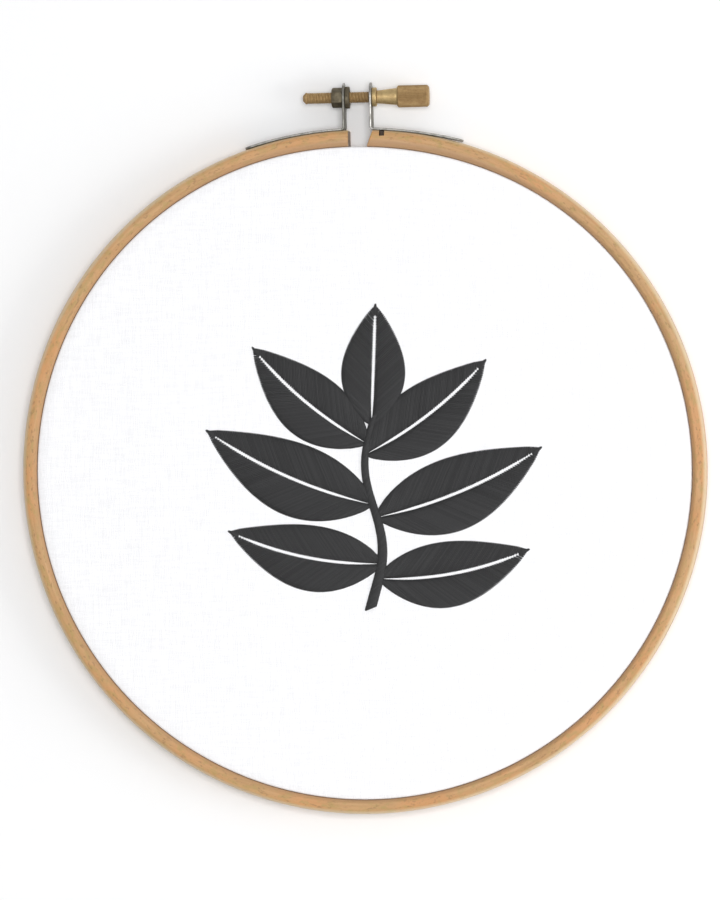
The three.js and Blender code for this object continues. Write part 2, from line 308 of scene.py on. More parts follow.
def out_of_round(point):
    """A point of the round hoop, moved to where the real hoop is flattened or bulges."""
    rings = bpy.context.scene.hoop_rings
    flat = Vector((point.x, 0, point.z - HOOP_Z))
    if flat.length < 1 * MM:
        return point
    degrees = math.degrees(math.atan2(flat.x, flat.z))
    depth = min(1.0, max(0.0, (RING_RADIUS - flat.length) / rings.width))
    shift = rings.pushed_out * math.exp(-(((degrees + 55) / 28) ** 2))
    shift -= rings.pulled_in * math.exp(-((degrees / 20) ** 2))
    shift -= rings.pulled_more * depth * math.exp(-(((degrees - 11) / 27) ** 2))
    return point + flat.normalized() * shift * min(1.0, (flat.length / RING_RADIUS) ** 8)


def settle(piece):
    """Puts a piece's place, turn and scale into its mesh."""
    select_only(piece)
    bpy.ops.object.transform_apply(location=True, rotation=True, scale=True)


def close_up(piece):
    """Merges doubles and turns every face outwards."""
    edit(piece)
    bpy.ops.mesh.select_all(action="SELECT")
    bpy.ops.mesh.remove_doubles(threshold=0.002 * MM)
    bpy.ops.mesh.normals_make_consistent(inside=False)
    select_only(piece)


def smooth(piece, degrees=35):
    """Smooth shading, with edges kept sharp past an angle."""
    select_only(piece)
    bpy.ops.object.shade_smooth_by_angle(angle=math.radians(degrees))


def apply_modifier(piece, kind, **settings):
    """Adds one modifier and applies it at once."""
    select_only(piece)
    modifier = piece.modifiers.new(kind.title(), kind)
    for key, value in settings.items():
        setattr(modifier, key, value)
    bpy.ops.object.modifier_apply(modifier=modifier.name)


def mark_faces(piece, name, rule):
    """Writes an attribute on the faces from a rule of their centre and normal."""
    values = [rule(face.center, face.normal) for face in piece.data.polygons]
    piece.data.attributes.new(name, "FLOAT", "FACE").data.foreach_set("value", values)


def carve(piece, tool, operation="DIFFERENCE"):
    """Cuts a piece with another shape, which is then thrown away."""
    apply_modifier(piece, "BOOLEAN", object=tool, operation=operation, solver="EXACT")
    bpy.data.objects.remove(tool)


def move_points(piece, rule):
    """Moves every vertex of a piece to where a rule puts it."""
    for vertex in piece.data.vertices:
        vertex.co = rule(vertex.co)
    piece.data.update()


def finish_piece(piece, body, slot, material, nodes=()):
    """Gives a piece its finish, puts it on the body that it rides on, and hides the nodes that it
    stands for.
    """
    settle(piece)
    piece.data.materials.clear()
    piece.data.materials.append(material)
    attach(piece, body)
    if nodes:
        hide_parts(*nodes)


def corner_arc(centre, radius, start, steps):
    """Points on a quarter round, from one angle on."""
    for i in range(steps + 1):
        angle = start + math.pi / 2 * i / steps
        yield (centre[0] + radius * math.cos(angle), centre[1] + radius * math.sin(angle))


def rounded_section(inner, outer, front, back, rounds, steps=6):
    """(radius, y) points round a rectangle whose corners have the four radii of rounds."""
    quarter = math.pi / 2
    inner_front, outer_front, outer_back, inner_back = rounds
    return [
        *corner_arc((inner + inner_front, front + inner_front), inner_front, 2 * quarter, steps),
        *corner_arc((outer - outer_front, front + outer_front), outer_front, -quarter, steps),
        *corner_arc((outer - outer_back, back - outer_back), outer_back, 0, steps),
        *corner_arc((inner + inner_back, back - inner_back), inner_back, quarter, steps),
    ]


def section_loop(name, section, place):
    """An open loop of edges in a section's outline, set in space by place(radius, along)."""
    circle = bpy.ops.mesh.primitive_circle_add
    piece = add(circle, name, vertices=len(section), radius=1, fill_type="NOTHING")
    for vertex, point in zip(piece.data.vertices, section):
        vertex.co = place(*point)
    return piece


def spin(piece, centre, axis, steps, angle):
    """Sweeps all of a piece round an axis."""
    edit(piece)
    bpy.ops.mesh.select_all(action="SELECT")
    bpy.ops.mesh.spin(steps=steps, angle=angle, center=centre, axis=axis, use_auto_merge=False)
    select_only(piece)


def turned(name, profile, sides):
    """A solid turned about the screw's axis, by extruding one disc along (x, radius) steps."""
    first_x, radius = profile[0]
    piece = add(
        bpy.ops.mesh.primitive_circle_add,
        name,
        vertices=sides,
        radius=radius,
        fill_type="NGON",
        location=(first_x, 0, SCREW_Z),
        rotation=(0, -math.pi / 2, 0),
    )
    settle(piece)
    edit(piece, "FACE")
    bpy.ops.mesh.select_all(action="SELECT")
    last_x = first_x
    for x, wanted in profile[1:]:
        bpy.ops.mesh.extrude_region_move(TRANSFORM_OT_translate={"value": (x - last_x, 0, 0)})
        scale = wanted / radius
        bpy.ops.transform.resize(value=(1, scale, scale), center_override=(x, 0, SCREW_Z))
        last_x, radius = x, wanted
    close_up(piece)
    return piece


# Materials


class Finish:
    """One material, and short calls that add its nodes."""

    def __init__(self, name, **shader):
        self.material = bpy.data.materials.new(name)
        self.material.use_nodes = True
        self.tree = self.material.node_tree
        self.shader = self.tree.nodes["Principled BSDF"]
        for key, value in shader.items():
            self.shader.inputs[key.replace("_", " ")].default_value = value

    def node(self, kind, *inputs, output=0, **settings):
        """Adds a node, fills its inputs in order, and returns one output."""
        made = self.tree.nodes.new(kind)
        for key, value in settings.items():
            setattr(made, key, value)
        for socket, value in zip(made.inputs, inputs):
            self.fill(socket, value)
        return made.outputs[output]

    def fill(self, socket, value):
        """Links an output to a socket, or sets the socket's own value."""
        if value is None:
            return
        if isinstance(value, bpy.types.NodeSocket):
            self.tree.links.new(value, socket)
        else:
            socket.default_value = value

    def math(self, operation, *values):
        """One sum or function of numbers."""
        return self.node("ShaderNodeMath", *values, operation=operation)

    def times(self, first, second):
        return self.math("MULTIPLY", first, second)

    def plus(self, first, second):
        return self.math("ADD", first, second)

    def split(self, vector):
        """The x, y and z outputs of a vector."""
        made = self.node("ShaderNodeSeparateXYZ", vector).node
        return made.outputs[0], made.outputs[1], made.outputs[2]

    def join(self, x, y, z):
        """A vector of three numbers."""
        return self.node("ShaderNodeCombineXYZ", x, y, z)

    def object_point(self):
        """The point on the piece, in metres in the row frame."""
        return self.node("ShaderNodeTexCoord", output=3)

    def noise(self, vector, scale, detail=3.0, roughness=0.55):
        """Cloudy values from 0 to 1, scale of them to a metre."""
        made = self.node("ShaderNodeTexNoise", vector).node
        made.inputs["Scale"].default_value = scale
        made.inputs["Detail"].default_value = detail
        made.inputs["Roughness"].default_value = roughness
        return made.outputs["Fac"]

    def remap(self, value, low, high, to_low=0.0, to_high=1.0, smooth_step=False):
        """A value stretched from one range to another, and held inside it."""
        kind = "SMOOTHSTEP" if smooth_step else "LINEAR"
        return self.node(
            "ShaderNodeMapRange", value, low, high, to_low, to_high, interpolation_type=kind
        )

    def mix(self, share, first, second):
        """Two colours mixed by a share."""
        made = self.tree.nodes.new("ShaderNodeMix")
        made.data_type = "RGBA"
        self.fill(made.inputs["Factor"], share)
        for socket, value in ((made.inputs[6], first), (made.inputs[7], second)):
            self.fill(socket, value)
        return made.outputs[2]

    def layered(self, base, *layers):
        """A base colour with others laid over it in turn, each one by its share."""
        for share, colour in layers:
            base = self.mix(share, base, colour)
        return base

    def bump(self, height, distance, strength=1.0):
        """A normal that shows a height without moving the surface."""
        made = self.tree.nodes.new("ShaderNodeBump")
        made.inputs["Strength"].default_value = strength
        made.inputs["Distance"].default_value = distance
        self.fill(made.inputs["Height"], height)
        return made.outputs["Normal"]

    def wear(self, colour=None, roughness=None, normal=None):
        """Links what drives the surface, and returns the material."""
        self.fill(self.shader.inputs["Base Color"], colour)
        self.fill(self.shader.inputs["Roughness"], roughness)
        self.fill(self.shader.inputs["Normal"], normal)
        return self.material


def rgb(colour, times=1.0):
    """A colour with its alpha, made lighter or darker."""
    return (*[min(1.0, c * times) for c in colour[:3]], 1.0)


def hoop_coordinates(finish):
    """Distance round the ring from its foot, radius and depth, so that grain follows the bend."""
    x, y, z = finish.split(finish.object_point())
    height = finish.math("SUBTRACT", z, HOOP_Z)
    angle = finish.math("ARCTAN2", x, finish.times(height, -1.0))
    squares = finish.plus(finish.math("POWER", x, 2.0), finish.math("POWER", height, 2.0))
    return finish.times(angle, RING_RADIUS), finish.math("SQRT", squares), y


def wood_finish(name, finishes, light, dark, edge_light, inner_shade=0.0):
    """Bent beech: long grain, short dark flecks, a painted highlight along the rounded outer edge,
    painted shade beside the cloth, and darker cut ends with painted shade.
    """
    finish = Finish(name, Roughness=0.5, Specular_IOR_Level=0.35)
    around, across, depth = hoop_coordinates(finish)

    def drawn_out(share):
        """The point with the way round the ring shortened, so that noise is long there."""
        return finish.join(finish.times(around, share), across, depth)

    grain_point = drawn_out(0.045)
    grain = finish.noise(grain_point, 1500.0, 4.0)
    bands = finish.noise(grain_point, 420.0, 2.0)
    patches = finish.noise(drawn_out(1.0), 60.0, 2.0)
    mottle = finish.noise(drawn_out(0.5), 650.0, 3.0)
    fleck_point = drawn_out(0.42)
    fleck = finish.remap(finish.noise(fleck_point, 1900.0, 1.0), 0.6, 0.7)
    pore = finish.remap(finish.noise(fleck_point, 4200.0, 1.0), 0.66, 0.78)
    warm = [c * times for c, times in zip(light, (1.1, 0.85, 0.72, 1.0))]
    olive = [c * times for c, times in zip(light, (0.74, 0.84, 0.64, 1.0))]
    edge = RING_RADIUS
    # Painted highlight: the rounded outer edge is painted pale, strongest towards the front;
    # edge_light sets how much
    rim = finish.remap(across, edge - 1.2 * MM, edge - 0.1 * MM, 0.0, edge_light, True)
    highlight_to_front = finish.remap(depth, FRONT_Y + 1.5 * MM, FRONT_Y + 4.0 * MM, 1.0, 0.2, True)
    # Painted shade: the wood is darkened in a band along its inner edge, in the groove beside the
    # cloth
    inside = finish.remap(across, edge - 3.7 * MM, edge - 2.6 * MM, inner_shade, 0.0)
    # The cut ends: darker end grain and painted shade, most in the notch's recess
    end = finish.node("ShaderNodeAttribute", output=2, attribute_name="end")
    body = finish.layered(
        light,
        (finish.remap(grain, 0.35, 0.7), dark),
        (finish.remap(bands, 0.38, 0.66, 0.0, 0.65), rgb(dark, 1.25)),
        (finish.remap(patches, 0.42, 0.62, 0.0, 0.6), warm),
        (finish.remap(mottle, 0.48, 0.66, 0.0, 0.75), olive),
        (finish.times(fleck, 0.5), rgb(dark, 0.62)),
        (finish.times(pore, 0.4), rgb(dark, 0.45)),
        (finish.times(rim, highlight_to_front), rgb(finishes.rim)),
        (inside, rgb(finishes.shaded_inside_edge)),
        (end, rgb(finishes.end_grain_and_shade)),
    )
    height = finish.math("SUBTRACT", grain, finish.times(fleck, 0.8))
    roughness = finish.remap(grain, 0.3, 0.7, 0.42, 0.6)
    return finish.wear(body, roughness, finish.bump(height, 0.05 * MM, 0.6))


def weave_heights(finish, cloth):
    """The plain weave's height, and slow unevenness of its threads, from the flat cloth's UV."""
    flat_u, flat_v, _ = finish.split(finish.node("ShaderNodeUVMap", uv_map="weave"))
    threads = 1 / cloth.thread_pitch * FLAT_SPAN
    wobble = finish.noise(finish.join(flat_u, flat_v, 0.0), 55.0, 2.0)
    shift = finish.remap(wobble, 0.3, 0.7, -0.6, 0.6)
    u = finish.plus(finish.times(flat_u, threads), shift)
    v = finish.plus(finish.times(flat_v, threads), shift)

    def thread(side, along, start):
        """One set of threads: round across, and by turns over and under the other set."""
        roundness = finish.math("ABSOLUTE", finish.math("SINE", finish.times(side, math.pi)))
        row = finish.math("FLOOR", side)
        phase = finish.times(finish.plus(finish.plus(along, row), start), math.pi)
        over = finish.remap(finish.math("SINE", phase), -1.0, 1.0)
        return finish.times(roundness, finish.plus(over, 0.35))

    height = finish.math("MAXIMUM", thread(u, v, 0.0), thread(v, u, 1.0))
    weft = finish.noise(finish.join(finish.times(flat_u, 0.12), flat_v, 0.0), 260.0, 3.0)
    warp = finish.noise(finish.join(flat_u, finish.times(flat_v, 0.12), 5.0), 260.0, 3.0)
    return height, weft, warp


def cloth_finish(cloth, finishes):
    """White plain-woven cotton with slightly uneven threads."""
    finish = Finish("white_cotton", Roughness=0.92, Specular_IOR_Level=0.18, Sheen_Weight=0.12)
    height, weft, warp = weave_heights(finish, cloth)
    slub = finish.plus(finish.remap(weft, 0.38, 0.62), finish.remap(warp, 0.38, 0.62))
    # Painted shade: the weave's hollows between the threads are darkened
    valley_shade = finish.remap(height, 0.0, 0.6, 0.22, 0.0)
    colour = finish.layered(
        rgb(finishes.cloth, 0.93),
        (finish.times(slub, 0.5), rgb(finishes.cloth)),
        (valley_shade, rgb(finishes.cloth, 0.80)),
    )
    relief = finish.plus(height, finish.times(slub, 0.5))
    return finish.wear(colour, None, finish.bump(relief, 0.09 * MM, 0.55))


def thread_finish(finishes):
    """Charcoal cotton thread: a slight twist with painted shade in its grooves, and each stitch a
    little lighter or darker.
    """
    finish = Finish("charcoal_thread", Roughness=0.62, Specular_IOR_Level=0.3, Sheen_Weight=0.08)
    tone = finish.node("ShaderNodeAttribute", output=2, attribute_name="tone")
    u, v, _ = finish.split(finish.node("ShaderNodeUVMap", uv_map="strand"))
    twist = finish.plus(finish.times(u, 2.6), v)
    ply = finish.math("ABSOLUTE", finish.math("SINE", finish.times(twist, 2 * math.pi)))
    colour = finish.layered(
        rgb(finishes.thread, 0.82),
        (tone, rgb(finishes.thread, 1.15)),
        # Painted shade: darker where the twist's plies meet, in its grooves
        (finish.remap(ply, 0.0, 0.5, 0.45, 0.0), rgb(finishes.thread, 0.4)),
    )
    return finish.wear(colour, None, finish.bump(ply, 0.05 * MM, 0.5))


def metal_finish(name, colour, stain, fine_axis, roughness, tarnish_and_shade=None, metallic=1.0):
    """Metal with fine tool marks across one axis and dull stains; a rule, when given, lays on more
    stain on the screw and painted light and shade on the strips.
    """
    finish = Finish(name, Metallic=metallic)
    x, y, z = finish.split(finish.object_point())
    point = finish.join(x, y, z)
    shares = {"x": (1.0, 0.04, 0.04), "y": (0.04, 1.0, 0.04)}[fine_axis]
    drawn_out = [finish.times(value, share) for value, share in zip((x, y, z), shares)]
    marks = finish.noise(finish.join(*drawn_out), 9000.0, 3.0)
    specks = finish.remap(finish.noise(point, 2600.0, 2.0), 0.6, 0.75)
    dull = finish.remap(finish.noise(point, 700.0, 4.0, 0.65), 0.42, 0.68)
    body = finish.layered(
        rgb(colour),
        (finish.times(dull, 0.6), rgb(stain)),
        (finish.remap(marks, 0.4, 0.7, 0.0, 0.3), rgb(colour, 0.72)),
        (finish.times(specks, 0.5), rgb(stain, 0.6)),
    )
    rough = finish.remap(marks, 0.3, 0.7, roughness, roughness + 0.1)
    rough = finish.plus(finish.times(dull, 0.16), rough)
    if tarnish_and_shade is not None:
        # The rule's share darkens towards the stain colour: tarnish on the screw, painted light and
        # shade on the strips
        dull_and_shade = tarnish_and_shade(finish, x)
        body = finish.mix(dull_and_shade, body, rgb(stain))
        rough = finish.plus(finish.times(dull_and_shade, 0.3), rough)
    return finish.wear(body, rough, finish.bump(marks, 0.02 * MM, 0.35))


def wall_finish(finishes):
    """Matt painted wall that lets a view from behind through."""
    finish = Finish("painted_wall", Roughness=0.9, Specular_IOR_Level=0.2)
    point = finish.object_point()
    roller = finish.noise(point, 350.0, 3.0)
    patches = finish.remap(finish.noise(point, 9.0, 2.0), 0.35, 0.65, 0.0, 0.5)
    colour = finish.mix(patches, rgb(finishes.wall), rgb(finishes.wall, 0.985))
    finish.wear(colour, None, finish.bump(roller, 0.1 * MM, 0.25))
    painted = finish.shader.outputs[0]
    see_through = finish.node("ShaderNodeBsdfTransparent")
    behind = finish.node("ShaderNodeNewGeometry", output=6)
    mixed = finish.node("ShaderNodeMixShader", behind, painted, see_through)
    finish.tree.links.new(mixed, finish.tree.nodes["Material Output"].inputs["Surface"])
    return finish.material


def floor_finish(finishes):
    """Pale matt floor with slight patches."""
    finish = Finish("pale_floor", Roughness=0.8, Specular_IOR_Level=0.2)
    patches = finish.noise(finish.object_point(), 6.0, 3.0)
    colour = finish.mix(patches, rgb(finishes.floor), rgb(finishes.floor, 1.1))
    return finish.wear(colour)


# Stage


# Where the lights are, from the hoop's middle, and the side where the sky is brightest
KEY_PLACE = Vector((1.4, -0.62, -0.25))
FILL_PLACE = Vector((0.22, -1.9, 0.08))
REAR_PLACE = Vector((-0.2, 1.4, 0.5))
BRIGHT_SIDE = Vector((0.55, -0.48, 0.68))
COOL_WHITE = (0.984, 0.99, 1.0)
SKY_WHITE = (0.985, 0.988, 1.0)


def area_light(name, offset, size, watts, colour=(1, 1, 1)):
    """A square soft light that shines on the hoop's middle from an offset."""
    select_only(None)
    bpy.ops.object.light_add(type="AREA", location=HOOP_CENTRE + offset)
    light = bpy.context.active_object
    light.name = name
    light.data.size = size
    light.data.energy = watts
    light.data.color = colour
    light.rotation_mode = "QUATERNION"
    light.rotation_quaternion = offset.to_track_quat("Z", "Y")


def stage_plane(name, size, location, rotation, material):
    """A flat backdrop."""
    plane = bpy.ops.mesh.primitive_plane_add
    piece = add(plane, name, size=size, location=location, rotation=rotation)
    settle(piece)
    piece.data.materials.append(material)
    return piece


class HOOP_OT_stage(bpy.types.Operator):
    """Sets the wall, the floor, the lights and the camera"""

    bl_idname = "hoop.stage"
    bl_label = "Stage"

    def execute(self, context):
        sizes = context.scene.hoop_stage
        self.backdrop(sizes, context.scene.hoop_finishes)
        self.lights(context, sizes)
        self.camera(context, sizes)
        return {"FINISHED"}

    def backdrop(self, sizes, finishes):
        """The wall behind the hoop, and the floor that meets it far below."""
        wall_y = BACK_Y + sizes.wall_gap
        upright = (math.pi / 2, 0, 0)
        wall_place = (0, wall_y, HOOP_Z)
        wall = stage_plane("wall", sizes.wall_size, wall_place, upright, wall_finish(finishes))
        wall.visible_shadow = False
        floor_place = (0, wall_y - sizes.floor_size / 2, RING_LOW.z - sizes.floor_drop)
        stage_plane("floor", sizes.floor_size, floor_place, (0, 0, 0), floor_finish(finishes))

    def lights(self, context, sizes):
        area_light("key_light", KEY_PLACE, 0.8, sizes.key_watts)
        area_light("fill_light", FILL_PLACE, 0.7, sizes.fill_watts, COOL_WHITE)
        area_light("rear_light", REAR_PLACE, 1.0, sizes.rear_watts)
        self.sky(context, sizes)
        context.scene.view_settings.view_transform = "Standard"

    def sky(self, context, sizes):
        """A sky that is brightest on one side, as from a window there."""
        world = bpy.data.worlds.new("studio")
        context.scene.world = world
        world.use_nodes = True
        tree = world.node_tree
        direction = tree.nodes.new("ShaderNodeTexCoord").outputs["Generated"]
        towards = tree.nodes.new("ShaderNodeVectorMath")
        towards.operation = "DOT_PRODUCT"
        towards.inputs[1].default_value = BRIGHT_SIDE.normalized()
        tree.links.new(direction, towards.inputs[0])
        strength = tree.nodes.new("ShaderNodeMapRange")
        for socket, value in zip(strength.inputs[1:], (-0.8, 0.9, sizes.sky_dim, sizes.sky_bright)):
            socket.default_value = value
        tree.links.new(towards.outputs["Value"], strength.inputs[0])
        background = tree.nodes["Background"]
        background.inputs["Color"].default_value = rgb(SKY_WHITE)
        tree.links.new(strength.outputs[0], background.inputs["Strength"])

    def camera(self, context, sizes):
        """A long lens, level with its aim and leaning a little."""
        turn, roll = sizes.azimuth, sizes.roll
        back = Vector((math.sin(turn), -math.cos(turn), 0))
        level = Vector((math.cos(turn), math.sin(turn), 0))
        upright = Vector((0, 0, 1))
        right = level * math.cos(roll) - upright * math.sin(roll)
        up = upright * math.cos(roll) + level * math.sin(roll)
        aim = HOOP_CENTRE + right * sizes.aim_right + up * sizes.aim_up
        select_only(None)
        bpy.ops.object.camera_add(location=aim + back * sizes.distance)
        camera = bpy.context.active_object
        camera.name = "camera"
        camera.rotation_mode = "QUATERNION"
        camera.rotation_quaternion = Matrix((right, up, back)).transposed().to_quaternion()
        camera.data.lens = camera.data.sensor_width * sizes.distance / sizes.frame_height
        context.scene.camera = camera


# Wooden rings


class HOOP_OT_outer_ring(bpy.types.Operator):
    """Sweeps the outer ring, opens its split and cuts its notch"""

    bl_idname = "hoop.outer_ring"
    bl_label = "Outer ring"

    def execute(self, context):
        sizes = context.scene.hoop_rings
        finishes = context.scene.hoop_finishes
        back = sizes.back_round
        rounds = (sizes.front_inner_round, sizes.front_outer_round, back, back)
        inner = RING_RADIUS - sizes.width
        section = rounded_section(inner, RING_RADIUS, FRONT_Y, BACK_Y, rounds)
        clear = math.radians(0.5)
        side, up = math.sin(clear), math.cos(clear)
        piece = section_loop(
            "outer_ring_wood", section, lambda radius, y: (radius * side, y, HOOP_Z + radius * up)
        )
        spin(piece, HOOP_CENTRE, (0, 1, 0), sizes.sides, 2 * math.pi - 2 * clear)
        self.cut_ends(piece, sizes)
        close_up(piece)
        self.notch(piece, sizes)
        # The end attribute holds the darker end grain and the painted shade at the split and in the
        # notch
        mark_faces(piece, "end", lambda centre, normal: self.end_grain_and_notch_shade(sizes, centre, normal))
        move_points(piece, out_of_round)
        smooth(piece)
        light, dark = rgb(finishes.wood), rgb(finishes.wood_dark)
        # 0.72 is the painted highlight on the outer edge, 0.8 the painted shade along the inner
        # edge beside the cloth
        material = wood_finish("beech_outer", finishes, light, dark, 0.72, inner_shade=0.8)
        finish_piece(piece, "hoop", "outer_wood", material, ["outer_ring"])
        return {"FINISHED"}

    def cut_ends(self, piece, sizes):
        """Cuts the left end square and the right end slanting, and eases their edges."""
        edit(piece, "FACE")
        left = Vector((sizes.split_left, 0, HOOP_Z + RING_RADIUS))
        pick(piece, "FACE", lambda p: -SPLIT_REACH < p.x < 0 and p.z > HOOP_Z)
        bpy.ops.mesh.bisect(plane_co=left, plane_no=(1, 0, 0), use_fill=True, clear_outer=True)
        inside = Vector((sizes.split_right_inner, 0, HOOP_Z + RING_RADIUS - sizes.width))
        lean = sizes.split_right_outer - sizes.split_right_inner
        across = Vector((sizes.width, 0, -lean)).normalized()
        pick(piece, "FACE", lambda p: 0 < p.x < SPLIT_REACH and p.z > HOOP_Z)
        bpy.ops.mesh.bisect(plane_co=inside, plane_no=across, use_fill=True, clear_inner=True)
        on_plane = 0.001 * MM
        for point, normal in ((left, Vector((1, 0, 0))), (inside, across)):
            pick(
                piece,
                "EDGE",
                lambda p: abs((p - point).dot(normal)) < on_plane and p.z > HOOP_Z,
            )
            bpy.ops.mesh.bevel(offset=sizes.end_bevel, segments=3, affect="EDGES")
        select_only(piece)

    def end_grain_and_notch_shade(self, sizes, centre, normal):
        """How dark the wood is painted where it is cut across: darker end grain with painted shade
        at the split, and more painted shade in the notch's recess.
        """
        if centre.z < HOOP_Z or abs(centre.x) > SPLIT_REACH:
            return 0.0
        near = 0.02 * MM
        left = sizes.notch_left - near
        right = sizes.notch_left + sizes.notch_side + near
        foot = self.notch_foot(sizes)
        if left < centre.x < right and centre.z > foot - near:
            beside = abs(normal.x) > 0.8
            below = normal.z > 0.99 and centre.z < foot + near
            behind = normal.y < -0.9 and centre.y > FRONT_Y + sizes.notch_depth - near
            if beside or below or behind:
                return 0.95
        return 0.62 if abs(normal.x) > 0.8 else 0.0

    def notch_foot(self, sizes):
        """The height of the notch's floor, a little more than the notch's side below the rim."""
        return HOOP_Z + RING_RADIUS - 1.06 * sizes.notch_side

    def notch(self, piece, sizes):
        """Cuts the square notch with a block that reaches in from the front."""
        side = sizes.notch_side
        tool = add(bpy.ops.mesh.primitive_cube_add, "notch_tool", size=1)
        tool.scale = (side, 2 * sizes.notch_depth, 2 * side)
        tool.location = (sizes.notch_left + side / 2, FRONT_Y, self.notch_foot(sizes) + side)
        settle(tool)
        carve(piece, tool)


class HOOP_OT_inner_ring(bpy.types.Operator):
    """Sweeps the inner ring that the cloth is stretched over"""

    bl_idname = "hoop.inner_ring"
    bl_label = "Inner ring"

    def execute(self, context):
        sizes = context.scene.hoop_rings
        finishes = context.scene.hoop_finishes
        cloth = context.scene.hoop_cloth
        outer = cloth.reach - cloth.thickness - cloth.gather_depth * 1.6
        front = CLOTH_LOW.y + cloth.thickness + 0.05 * MM
        rounds = (0.8 * MM, 1.7 * MM, sizes.back_round, sizes.back_round)
        section = rounded_section(outer - sizes.width, outer, front, BACK_Y, rounds, steps=4)
        piece = section_loop(
            "inner_ring_wood", section, lambda radius, y: (0, y, HOOP_Z + radius)
        )
        spin(piece, HOOP_CENTRE, (0, 1, 0), sizes.sides, 2 * math.pi)
        close_up(piece)
        move_points(piece, out_of_round)
        smooth(piece)
        light, dark = rgb(finishes.inner_wood), rgb(finishes.wood_dark, 1.2)
        material = wood_finish("beech_inner", finishes, light, dark, 0.0)
        finish_piece(piece, "hoop", "inner_wood", material, ["inner_ring"])
        return {"FINISHED"}


# Cloth


class HOOP_OT_cloth(bpy.types.Operator):
    """Stretches the white cloth over the inner ring and pinches it between the rings"""

    bl_idname = "hoop.cloth"
    bl_label = "Cloth"

    def execute(self, context):
        cloth = context.scene.hoop_cloth
        piece = self.sheet(cloth)
        self.gather(piece, cloth)
        self.lay_out(piece, cloth)
        move_points(piece, out_of_round)
        apply_modifier(
            piece, "SOLIDIFY", thickness=cloth.thickness, offset=-1.0, use_even_offset=True
        )
        smooth(piece, 60)
        material = cloth_finish(cloth, context.scene.hoop_finishes)
        finish_piece(piece, "hoop", "cloth", material, ["cloth"])
        return {"FINISHED"}

    def sheet(self, cloth):
        """The outer surface: a flat face of rings, a shoulder and a band towards the back."""
        flat_radius = cloth.reach - cloth.shoulder - cloth.slope
        front = CLOTH_LOW.y
        piece = add(
            bpy.ops.mesh.primitive_circle_add,
            "white_cloth",
            vertices=cloth.sides,
            radius=flat_radius,
            fill_type="NGON",
            location=(0, front, HOOP_Z),
            rotation=(math.pi / 2, 0, 0),
        )
        settle(piece)
        edit(piece, "FACE")
        bpy.ops.mesh.select_all(action="SELECT")
        for width, count in ((2 * MM, 3), (5 * MM, 3), (9 * MM, 6)):
            for _ in range(count):
                bpy.ops.mesh.inset(thickness=width, depth=0)
        pick(piece, "EDGE", lambda p: (p - HOOP_CENTRE).xz.length > flat_radius - 0.01 * MM)
        radius, y = flat_radius, front
        for new_radius, new_y in self.band_steps(cloth, flat_radius, front):
            bpy.ops.mesh.extrude_edges_move(TRANSFORM_OT_translate={"value": (0, new_y - y, 0)})
            scale = new_radius / radius
            bpy.ops.transform.resize(value=(scale, 1, scale), center_override=(0, new_y, HOOP_Z))
            radius, y = new_radius, new_y
        select_only(piece)
        return piece

    def band_steps(self, cloth, flat_radius, front):
        """(radius, y) down the shoulder and along the band to the trimmed edge."""
        steps = 6
        for i in range(1, steps + 1):
            share = i / steps
            yield flat_radius + cloth.slope * share, front + cloth.fall * share**2
        tilt = math.atan(2 * cloth.fall / cloth.slope)
        top = flat_radius + cloth.slope
        for i in range(1, steps + 1):
            angle = tilt + (math.pi / 2 - tilt) * i / steps
            reach = (math.sin(angle) - math.sin(tilt)) / (1 - math.sin(tilt))
            yield (
                top + cloth.shoulder * reach,
                front + cloth.fall + cloth.shoulder * (math.cos(tilt) - math.cos(angle)),
            )
        start = front + cloth.fall + cloth.shoulder * math.cos(tilt)
        rows = 5
        for i in range(1, rows + 1):
            yield cloth.reach, start + (CLOTH_HIGH.y - start) * i / rows

    def gather(self, piece, cloth):
        """Waves the pinched band in small uneven folds that fade out at the shoulder."""
        start = CLOTH_LOW.y + cloth.fall + cloth.shoulder

        def rule(p):
            depth = (p.y - start) / (CLOTH_HIGH.y - start)
            flat = Vector((p.x, 0, p.z - HOOP_Z))
            if depth <= 0 or flat.length < 1 * MM:
                return p
            angle = math.atan2(flat.x, flat.z)
            wave = math.sin(cloth.gathers * angle + 1.7 * math.sin(9 * angle))
            uneven = 0.6 + 0.4 * math.sin(23 * angle + 0.8)
            radius = flat.length - cloth.gather_depth * (1 - wave * uneven) * depth**0.8
            return HOOP_CENTRE + flat.normalized() * radius + Vector((0, p.y, 0))

        move_points(piece, rule)

    def lay_out(self, piece, cloth):
        """Writes each point's place on the flat cloth as a UV, so that the weave follows it."""
        layer = piece.data.uv_layers.new(name="weave")
        for loop in piece.data.loops:
            point = piece.data.vertices[loop.vertex_index].co
            flat = Vector((point.x, point.z - HOOP_Z))
            reach = flat.length + max(0.0, point.y - CLOTH_LOW.y)
            reach = min(reach, cloth.flat_diameter / 2)
            place = flat.normalized() * reach if flat.length > 0 else flat
            layer.data[loop.index].uv = (place.x / FLAT_SPAN + 0.5, place.y / FLAT_SPAN + 0.5)


# Sewing


SHORTEST = 0.5 * MM  # stitches that come out shorter are left out
END_WIDTH = 0.78  # a strand's width where it dives, as a share of the width at its middle
SUNK = -0.12 * MM  # how far a strand's ends stand up, so that they dive into the cloth
STRAND_HEIGHT = 0.42 * MM  # from a strand's underside to its top
BACK_SHARE = 0.6  # how far stitches stand out behind the cloth, as a share of the front


